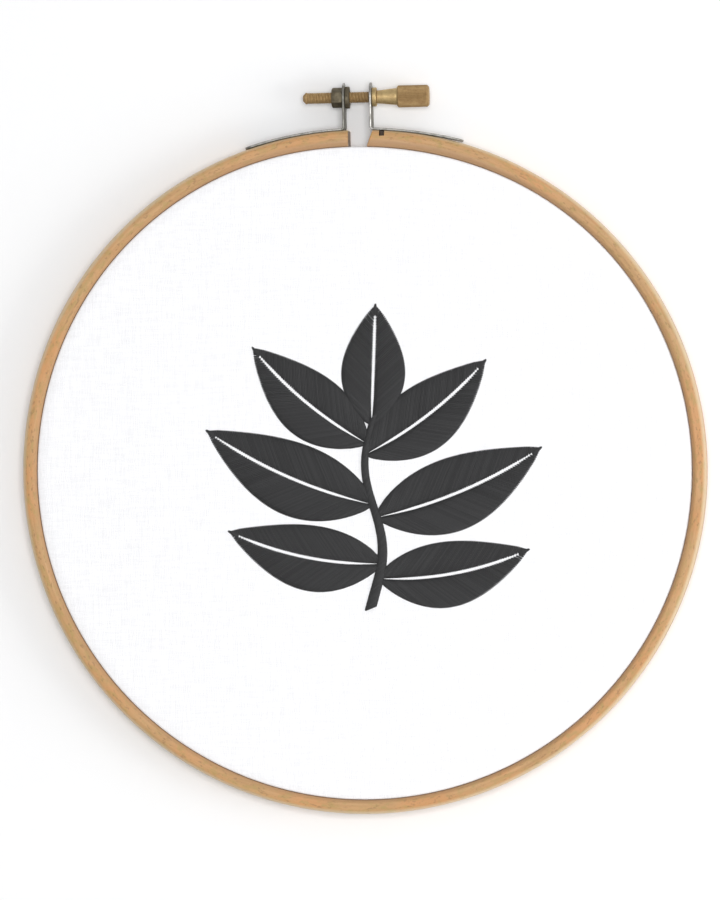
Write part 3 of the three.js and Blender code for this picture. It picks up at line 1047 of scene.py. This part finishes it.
def stitch_form():
    """One stitch as (share along, side, rise) points and faces: a strand that dives at its ends."""
    strand = add(
        bpy.ops.mesh.primitive_cylinder_add,
        "stitch_form",
        vertices=6,
        radius=0.5,
        depth=1,
        rotation=(0, math.pi / 2, 0),
        location=(0.5, 0, 0),
    )
    settle(strand)
    edit(strand, "EDGE")
    pick(strand, "EDGE", lambda p: True)
    keep_edges(strand, lambda a, b: abs(a.x - b.x) > 0.5)
    bpy.ops.mesh.subdivide(number_cuts=6)
    close_up(strand)
    points = np.array([v.co for v in strand.data.vertices])
    faces = [tuple(p.vertices) for p in strand.data.polygons]
    bpy.data.objects.remove(strand)
    return points, faces


class Sewing:
    """Lays stitches on both sides of the cloth and joins them into one mesh."""

    def __init__(self, sizes):
        self.sizes = sizes
        self.form, self.faces = stitch_form()
        self.random = np.random.default_rng(sizes.seed)

    def sew(self, name, stitches, material, longest=12 * MM):
        """Makes one piece of many stitches, each given as (start, end) in x and z on the cloth."""
        ends = np.array(stitches, float)
        start, along = ends[:, 0], ends[:, 1] - ends[:, 0]
        length = np.linalg.norm(along, axis=1)
        keep = length > SHORTEST
        start, along, length = start[keep], along[keep], length[keep]
        unit = along / length[:, None]
        side = np.stack([-unit[:, 1], unit[:, 0]], axis=1)
        count = len(length)
        share, across, rise = self.form.T
        arch = np.sqrt(np.clip(4 * share * (1 - share), 0, 1))
        taper = END_WIDTH + (1 - END_WIDTH) * arch
        jitter = self.random.uniform(-1, 1, (count, 3))
        width = self.sizes.thread * (1 + 0.06 * jitter[:, :1])
        stand = self.sizes.padding * np.clip(length / longest, 0.25, 1)[:, None]
        stand = stand * (1 + 0.08 * jitter[:, 1:2])
        drift = 0.04 * MM * jitter[:, 2:]
        offset = width * across * taper + drift * arch
        x = start[:, :1] + along[:, :1] * share + side[:, :1] * offset
        z = start[:, 1:] + along[:, 1:] * share + side[:, 1:] * offset
        lift = SUNK + (stand - SUNK) * arch + STRAND_HEIGHT * rise * taper
        front = np.stack([x, CLOTH_LOW.y - lift, z], axis=2)
        behind = CLOTH_LOW.y + bpy.context.scene.hoop_cloth.thickness
        back = np.stack([x, behind + BACK_SHARE * lift, z], axis=2)
        points = np.concatenate([front, back]).reshape(-1, 3)
        size = len(self.form)
        faces = [tuple(i * size + v for v in face) for i in range(count) for face in self.faces]
        faces += [tuple(count * size + v for v in reversed(face)) for face in faces]
        mesh = bpy.data.meshes.new(name)
        mesh.from_pydata(points.tolist(), [], faces)
        self.write_attributes(mesh, 2 * count, np.tile(length, 2))
        piece = bpy.data.objects.new(name, mesh)
        bpy.context.scene.collection.objects.link(piece)
        smooth(piece, 80)
        finish_piece(piece, "hoop", "thread", material)

    def write_attributes(self, mesh, count, length):
        """A tone for each stitch, and a UV that runs along the strand and round it."""
        size = len(self.form)
        tone = np.repeat(self.random.uniform(0, 1, count), size).astype(np.float32)
        mesh.attributes.new("tone", "FLOAT", "POINT").data.foreach_set("value", tone)
        share, across, rise = self.form.T
        turn = np.arctan2(rise, across) / (2 * math.pi) + 0.5
        along = (length[:, None] * share).reshape(-1) / MM
        around = np.tile(turn, count)
        corners = np.zeros(len(mesh.loops), np.int32)
        mesh.loops.foreach_get("vertex_index", corners)
        uv = np.stack([along[corners], around[corners]], axis=1).astype(np.float32)
        mesh.uv_layers.new(name="strand").data.foreach_set("uv", uv.reshape(-1))


class Leaf:
    """A pointed leaf on the cloth: where it starts, which way it grows, and its outline."""

    def __init__(self, base, degrees, length, width, camber):
        self.base = base
        angle = math.radians(degrees)
        self.direction = np.array([math.sin(angle), math.cos(angle)])
        self.side = np.array([math.cos(angle), -math.sin(angle)])
        self.length, self.width, self.camber = length, width, camber

    def half_width(self, s):
        """The outline's distance from the midrib at a share of the leaf's length."""
        s = min(max(s, 0.0), 1.0)
        return self.width / 2 * math.sin(math.pi * s**0.82) ** 0.88

    def point(self, s, across):
        """A place on the cloth, from the share along the midrib and the distance to its side."""
        bow = self.camber * self.length * 4 * s * (1 - s)
        along = self.direction * self.length * s
        return self.base + along + self.side * (across + bow)

    def stitches(self, sizes):
        """Long stitches that meet in the tip, then slanted ones from the midrib to both edges."""
        found = []
        tip_start = 1 - sizes.tip_length / self.length
        for i in range(sizes.tip_stitches):
            aside = (i - (sizes.tip_stitches - 1) / 2) * sizes.tip_spacing
            found.append((self.point(tip_start, aside), self.point(1.0, 0.0)))
        count = round(self.length / (sizes.pitch * 1.42))
        for hand in (-1, 1):
            for i in range(1, count + 1):
                s = (i - 0.4) / count
                if s > 1 - sizes.bare_tip / self.length:
                    continue
                near_tip = max(0.0, 1 - (1 - s) * self.length / sizes.draw_length)
                reach = self.half_width(s) - sizes.draw_in * near_tip
                root = max(0.0, s - 0.95 * reach / self.length)
                gap = sizes.slit / 2 * min(1.0, 4 * root + 0.15, 5 * (1 - root))
                start = self.point(root, hand * gap)
                end = self.point(s, hand * max(reach, gap))
                found.append((start, end))
        return found


# Each leaf: name, share up the stem, degrees from upright, length, width and camber.
LEAVES = (
    ("leaf_crown", 1.0, 3, 33 * MM, 17.5 * MM, 0.0),
    ("leaf_upper_left", 0.90, -49, 41 * MM, 18 * MM, -0.05),
    ("leaf_upper_right", 0.84, 53, 42 * MM, 18 * MM, 0.05),
    ("leaf_middle_left", 0.57, -65, 50 * MM, 20 * MM, -0.05),
    ("leaf_middle_right", 0.50, 68, 49 * MM, 20 * MM, 0.05),
    ("leaf_lower_left", 0.25, -77, 43 * MM, 18 * MM, -0.06),
    ("leaf_lower_right", 0.17, 80, 42 * MM, 18 * MM, 0.06),
)


class HOOP_OT_sprig(bpy.types.Operator):
    """Sews the leaf sprig in satin stitch"""

    bl_idname = "hoop.sprig"
    bl_label = "Leaf sprig"

    def execute(self, context):
        sizes = context.scene.hoop_sprig
        material = thread_finish(context.scene.hoop_finishes)
        sewing = Sewing(sizes)
        sewing.sew("stem", self.stem(sizes), material, 4 * MM)
        for name, share, degrees, length, width, camber in LEAVES:
            leaf = Leaf(self.on_stem(sizes, share), degrees, length, width, camber)
            sewing.sew(name, leaf.stitches(sizes), material)
        return {"FINISHED"}

    def on_stem(self, sizes, share):
        """A point on the stem's middle line."""
        z = sizes.stem_bottom + (sizes.stem_top - sizes.stem_bottom) * share
        x = sizes.stem_sway * math.sin(2.2 * math.pi * (share - 0.1))
        return np.array([sizes.right + x, HOOP_Z + sizes.up + z])

    def stem(self, sizes):
        """Short slanted stitches across the stem, which thins upwards."""
        height = sizes.stem_top - sizes.stem_bottom
        count = round(height / sizes.pitch)
        lean = 1.3 * MM / height
        found = []
        for i in range(count + 1):
            share = 1.04 * i / count
            half = sizes.stem_width / 2 * (1 - 0.45 * share)
            left = self.on_stem(sizes, max(0.0, share - lean)) - np.array([half, 0])
            right = self.on_stem(sizes, share + lean) + np.array([half, 0])
            found.append((left, right))
        return found


# Hardware


class StripPath:
    """The line that a bent bracket follows: down the tab, round the bend, along the ring."""

    def __init__(self, sizes, low, high, lift):
        right = low.x > 0
        self.hand = 1 if right else -1
        self.half = sizes.sheet / 2
        self.lift = lift
        self.tab_x = sizes.tab_gap + self.half
        self.bend_radius = sizes.bend + self.half
        self.foot_radius = RING_RADIUS + 0.05 * MM + self.half
        self.bend_x = self.tab_x + self.bend_radius
        beside = out_of_round(Vector((self.hand * self.bend_x, 0, HOOP_Z + RING_RADIUS)))
        sunk = RING_RADIUS + HOOP_Z - beside.z
        reach = self.foot_radius + self.bend_radius - sunk
        self.bend_z = HOOP_Z + math.sqrt(reach**2 - self.bend_x**2)
        self.start_angle = math.atan2(self.bend_x, self.bend_z - HOOP_Z)
        self.top = high.z
        foot_end = high.x if right else -low.x
        self.end_angle = math.asin(foot_end / (self.foot_radius + self.half + lift))
        self.tab_length = self.top - self.bend_z
        self.bend_length = self.bend_radius * (math.pi / 2 - self.start_angle)
        self.foot_length = self.foot_radius * (self.end_angle - self.start_angle)
        self.length = self.tab_length + self.bend_length + self.foot_length

    def place(self, s, offset, y):
        """Where a point of the flat blank goes: s along it, offset to its outer side."""
        if s <= self.tab_length:
            x, z = self.tab_x + offset, self.top - s
        elif s <= self.tab_length + self.bend_length:
            angle = (s - self.tab_length) / self.bend_radius
            radius = self.bend_radius - offset
            x = self.bend_x - radius * math.cos(angle)
            z = self.bend_z - radius * math.sin(angle)
        else:
            share = (s - self.tab_length - self.bend_length) / self.foot_length
            angle = self.start_angle + (self.end_angle - self.start_angle) * share
            radius = self.foot_radius + offset + self.lift * share**3
            x = radius * math.sin(angle)
            z = HOOP_Z + radius * math.cos(angle)
            return out_of_round(Vector((self.hand * x, y, z)))
        return Vector((self.hand * x, y, z))


class HOOP_OT_brackets(bpy.types.Operator):
    """Cuts, punches and bends the two steel strips"""

    bl_idname = "hoop.brackets"
    bl_label = "Brackets"

    def execute(self, context):
        sizes = context.scene.hoop_brackets
        finishes = context.scene.hoop_finishes
        steel = metal_finish(
            "plated_steel", finishes.steel, finishes.steel_stain_and_shade, "y", 0.3, self.dull_and_shade_share
        )
        for name, box, lift in (
            ("left_bracket", LEFT_BRACKET, sizes.left_lift),
            ("right_bracket", RIGHT_BRACKET, sizes.right_lift),
        ):
            path = StripPath(sizes, *box, lift)
            piece = self.blank(name + "_steel", sizes, path, box[1].y)
            move_points(piece, lambda p: path.place(p.x, p.z, p.y))
            close_up(piece)
            # Each face's share of stain colour: painted light and shade, with some dullness
            mark_faces(piece, "tarnish_and_shade", self.tarnish_and_shade)
            smooth(piece)
            finish_piece(piece, "hoop", "steel", steel, [name])
        return {"FINISHED"}

    def dull_and_shade_share(self, finish, x):
        """The faces' painted light and shade, with their dullness, whatever their x is."""
        return finish.node("ShaderNodeAttribute", output=2, attribute_name="tarnish_and_shade")

    def tarnish_and_shade(self, centre, normal):
        """How dark and dull a face is painted, as painted light and shade: the right tab's front
        edge and the tabs' tops are painted brightest, the left tab's front edge and the tabs' sides
        darkest.
        """
        on_tab = abs(centre.x) < 4.3 * MM
        on_front = abs(normal.y) > 0.6
        if on_front and on_tab:
            return 0.25 if centre.x > 0 else 0.75
        if on_front:
            return 0.55
        if on_tab and centre.z > SCREW_Z + 2 * MM:
            return 0.3
        return 0.8 if on_tab else 0.35

    def blank(self, name, sizes, path, half_width):
        """The flat strip along X: a round end with a hole, and two small corners."""
        place = (path.length / 2, 0, 0)
        piece = add(bpy.ops.mesh.primitive_cube_add, name, size=1, location=place)
        piece.scale = (path.length, 2 * half_width, sizes.sheet)
        settle(piece)
        edit(piece)
        nearly = 0.995
        near = 0.1 * MM
        for at_end, radius, segments in (
            (lambda p: p.x < near, half_width * nearly, 14),
            (lambda p: p.x > path.length - near, sizes.foot_corner, 8),
        ):
            pick(piece, "EDGE", at_end)
            keep_edges(piece, lambda a, b: abs(a.z - b.z) > (a - b).length * 0.9)
            bpy.ops.mesh.bevel(offset=radius, segments=segments, affect="EDGES")
        punch = add(
            bpy.ops.mesh.primitive_cylinder_add,
            "punch",
            vertices=32,
            radius=bpy.context.scene.hoop_screw.shaft_radius + 0.25 * MM,
            depth=10 * sizes.sheet,
            location=(path.top - SCREW_Z, 0, 0),
        )
        carve(piece, punch)
        apply_modifier(
            piece, "BEVEL", width=sizes.edge, segments=2, limit_method="ANGLE", angle_limit=0.7
        )
        edit(piece)
        start = path.tab_length - sizes.step
        for i in range(math.ceil((path.length - start) / sizes.step)):
            bpy.ops.mesh.select_all(action="SELECT")
            bpy.ops.mesh.bisect(plane_co=(start + i * sizes.step, 0, 0), plane_no=(1, 0, 0))
        select_only(piece)
        return piece


def drawn_in(point, depth):
    """A point on the screw, moved towards its axis."""
    flat = Vector((0, point.y, point.z - SCREW_Z))
    return Vector((point.x, 0, SCREW_Z)) + flat.normalized() * (flat.length - depth)


class HOOP_OT_screw(bpy.types.Operator):
    """Turns the brass screw, with its thread, flared neck and knurled barrel"""

    bl_idname = "hoop.screw"
    bl_label = "Screw"

    def execute(self, context):
        sizes = context.scene.hoop_screw
        piece = turned("brass_screw", self.profile(sizes), sizes.sides)
        self.cut_thread(piece, sizes)
        self.knurl(piece, sizes)
        close_up(piece)
        smooth(piece, 28)
        finishes = context.scene.hoop_finishes
        brass = metal_finish(
            "turned_brass", finishes.brass, finishes.brass_stain, "x", 0.46, self.dull_and_shade_share, 0.75
        )
        finish_piece(piece, "screw", "brass", brass, ["tension_screw"])
        return {"FINISHED"}

    def dull_and_shade_share(self, finish, x):
        """The neck is polished by the washer, and the shaft and the knurling are browner."""
        sizes = bpy.context.scene.hoop_screw
        left = finish.remap(x, sizes.neck_left, sizes.neck_left + 0.4 * MM, 0.55, 0.0)
        right = finish.remap(x, sizes.barrel_left, sizes.barrel_left + 0.3 * MM, 0.0, 0.6)
        return finish.plus(left, right)

    def profile(self, sizes):
        """(x, radius) steps from the shaft's tip to the barrel's end."""
        end = SCREW_HIGH.x
        barrel = (SCREW_HIGH.z - SCREW_LOW.z) / 2
        chamfer = sizes.barrel_chamfer
        return [
            (SCREW_LOW.x, sizes.tip_radius),
            (SCREW_LOW.x + 0.8 * MM, sizes.shaft_radius),
            (sizes.neck_left, sizes.shaft_radius),
            (sizes.neck_left + 0.01 * MM, sizes.neck_radius - 0.12 * MM),
            (sizes.neck_left + 0.13 * MM, sizes.neck_radius),
            (sizes.flare_left, sizes.neck_radius),
            (sizes.barrel_left - 0.3 * MM, sizes.flare_radius),
            (sizes.barrel_left, sizes.flare_radius),
            (sizes.barrel_left + 0.01 * MM, barrel - chamfer),
            (sizes.barrel_left + chamfer, barrel),
            (end - 1.3 * chamfer, barrel),
            (end - 0.12 * MM, barrel - chamfer * 0.85),
            (end, barrel - chamfer - 0.15 * MM),
        ]

    def cut_thread(self, piece, sizes):
        """Divides the shaft finely and draws its points in along a helix."""
        start = SCREW_LOW.x + 0.8 * MM
        end = sizes.neck_left
        per_turn = 6
        edit(piece, "EDGE")
        pick(piece, "EDGE", lambda p: start - 0.01 * MM < p.x < end + 0.001 * MM)
        keep_edges(piece, lambda a, b: abs(a.x - b.x) > 1 * MM)
        cuts = round((end - start) / sizes.thread_pitch * per_turn)
        bpy.ops.mesh.subdivide(number_cuts=cuts)
        select_only(piece)

        def rule(p):
            if not start < p.x < end - 0.2 * MM:
                return p
            turn = math.atan2(p.z - SCREW_Z, p.y) / (2 * math.pi)
            phase = (p.x / sizes.thread_pitch + turn) % 1.0
            tooth = abs(2 * phase - 1)
            fade = min(1.0, (p.x - start) / sizes.thread_pitch)
            return drawn_in(p, sizes.thread_depth * min(1.0, 1.25 * tooth) * fade)

        move_points(piece, rule)

    def knurl(self, piece, sizes):
        """Draws every other line of the barrel inwards, as straight knurling."""
        start = sizes.barrel_left + sizes.barrel_chamfer
        end = SCREW_HIGH.x - 1.3 * sizes.barrel_chamfer
        step = 2 * math.pi / sizes.sides

        def rule(p):
            if not start - 0.01 * MM < p.x < end + 0.01 * MM:
                return p
            column = round(math.atan2(p.z - SCREW_Z, p.y) / step)
            return drawn_in(p, sizes.knurl_depth) if column % 2 else p

        move_points(piece, rule)


class HOOP_OT_fastenings(bpy.types.Operator):
    """Makes the hexagonal nut and the two washers on the screw"""

    bl_idname = "hoop.fastenings"
    bl_label = "Nut and washers"

    def execute(self, context):
        sizes = context.scene.hoop_screw
        finishes = context.scene.hoop_finishes
        dark = metal_finish("oiled_steel", finishes.dark_steel, finishes.dark_stain, "x", 0.58)
        pale = metal_finish(
            "brass_washer", finishes.brass, finishes.washer_stain, "x", 0.48, metallic=0.75
        )
        nut = self.nut(sizes)
        finish_piece(nut, "hoop", "dark_steel", dark, ["hex_nut"])
        brackets = context.scene.hoop_brackets
        inside = -brackets.tab_gap + sizes.washer_play
        collar_end = INNER_WASHER[1].x - 0.1 * MM
        outside = brackets.tab_gap + brackets.sheet + sizes.washer_play
        neck = sizes.neck_left - 0.06 * MM
        for name, box, left, right, material, slot in (
            ("inner_washer", INNER_WASHER, inside, collar_end, dark, "dark_steel"),
            ("outer_washer", OUTER_WASHER, outside, neck, pale, "brass"),
        ):
            radius = (box[1].z - box[0].z) / 2
            piece = self.washer(name + "_metal", sizes, radius, left, right)
            finish_piece(piece, "hoop", slot, material, [name])
        return {"FINISHED"}

    def nut(self, sizes):
        """A hexagonal bar with its corners turned off and a countersunk bore."""
        right = sizes.nut_right
        left = right - (NUT_HIGH.x - NUT_LOW.x)
        corner = (NUT_HIGH.z - NUT_LOW.z) / 2
        piece = add(
            bpy.ops.mesh.primitive_cylinder_add,
            "hex_nut_steel",
            vertices=6,
            radius=corner,
            depth=right - left,
            location=((left + right) / 2, 0, SCREW_Z),
            rotation=(0, math.pi / 2, 0),
        )
        settle(piece)
        low, high = piece.bound_box[0], piece.bound_box[6]
        if high[1] - low[1] > high[2] - low[2]:
            turn = Matrix.Rotation(math.pi / 6, 3, "X")
            axis = Vector((0, 0, SCREW_Z))
            move_points(piece, lambda p: turn @ (p - axis) + axis)
        cut = sizes.nut_chamfer
        rim = corner + 0.02 * MM
        steps = (
            (left, rim - 1.6 * cut),
            (left + cut, rim),
            (right - cut, rim),
            (right, rim - 1.6 * cut),
        )
        carve(piece, turned("nut_turning", steps, 64), "INTERSECT")
        bore = sizes.bore_radius
        spare = 0.1 * MM
        sink = 0.35 * MM
        steps = (
            (left - spare, bore + sink + spare),
            (left + sink, bore),
            (right - sink, bore),
            (right + spare, bore + sink + spare),
        )
        carve(piece, turned("nut_drill", steps, 48))
        apply_modifier(
            piece, "BEVEL", width=0.07 * MM, segments=2, limit_method="ANGLE", angle_limit=0.5
        )
        smooth(piece)
        return piece

    def washer(self, name, sizes, radius, left, right):
        """A flat ring with eased edges."""
        rounds = [0.15 * MM] * 4
        section = rounded_section(sizes.bore_radius, radius, left, right, rounds, steps=3)
        piece = section_loop(name, section, lambda r, x: (x, 0, SCREW_Z + r))
        spin(piece, (0, 0, SCREW_Z), (1, 0, 0), 64, 2 * math.pi)
        close_up(piece)
        smooth(piece)
        return piece


# Panel and registration

GROUPS = {
    "hoop_stage": StageSizes,
    "hoop_rings": RingSizes,
    "hoop_cloth": ClothSizes,
    "hoop_sprig": SprigSizes,
    "hoop_brackets": BracketSizes,
    "hoop_screw": ScrewSizes,
    "hoop_finishes": Finishes,
}

OPERATORS = (
    HOOP_OT_stage,
    HOOP_OT_outer_ring,
    HOOP_OT_inner_ring,
    HOOP_OT_cloth,
    HOOP_OT_sprig,
    HOOP_OT_brackets,
    HOOP_OT_screw,
    HOOP_OT_fastenings,
)


class HOOP_PT_panel(bpy.types.Panel):
    """Lists the hoop's steps with the sizes and colours that each one reads"""

    bl_idname = "HOOP_PT_panel"
    bl_label = "Embroidery Hoop"
    bl_space_type = "VIEW_3D"
    bl_region_type = "UI"
    bl_category = "Hoop"

    def draw(self, context):
        for operator in OPERATORS:
            self.layout.operator(operator.bl_idname)
        for name, group in GROUPS.items():
            box = self.layout.box()
            box.label(text=group.__doc__)
            for key in group.__annotations__:
                box.prop(getattr(context.scene, name), key)


CLASSES = (*GROUPS.values(), *OPERATORS, HOOP_PT_panel)


def register():
    for item in CLASSES:
        bpy.utils.register_class(item)
    for name, group in GROUPS.items():
        setattr(bpy.types.Scene, name, bpy.props.PointerProperty(type=group))


def unregister():
    for name in GROUPS:
        delattr(bpy.types.Scene, name)
    for item in reversed(CLASSES):
        bpy.utils.unregister_class(item)


def main():
    register()
    bpy.ops.hoop.stage()
    bpy.ops.hoop.outer_ring()
    bpy.ops.hoop.inner_ring()
    bpy.ops.hoop.cloth()
    bpy.ops.hoop.sprig()
    bpy.ops.hoop.brackets()
    bpy.ops.hoop.screw()
    bpy.ops.hoop.fastenings()


if __name__ == "__main__":
    main()
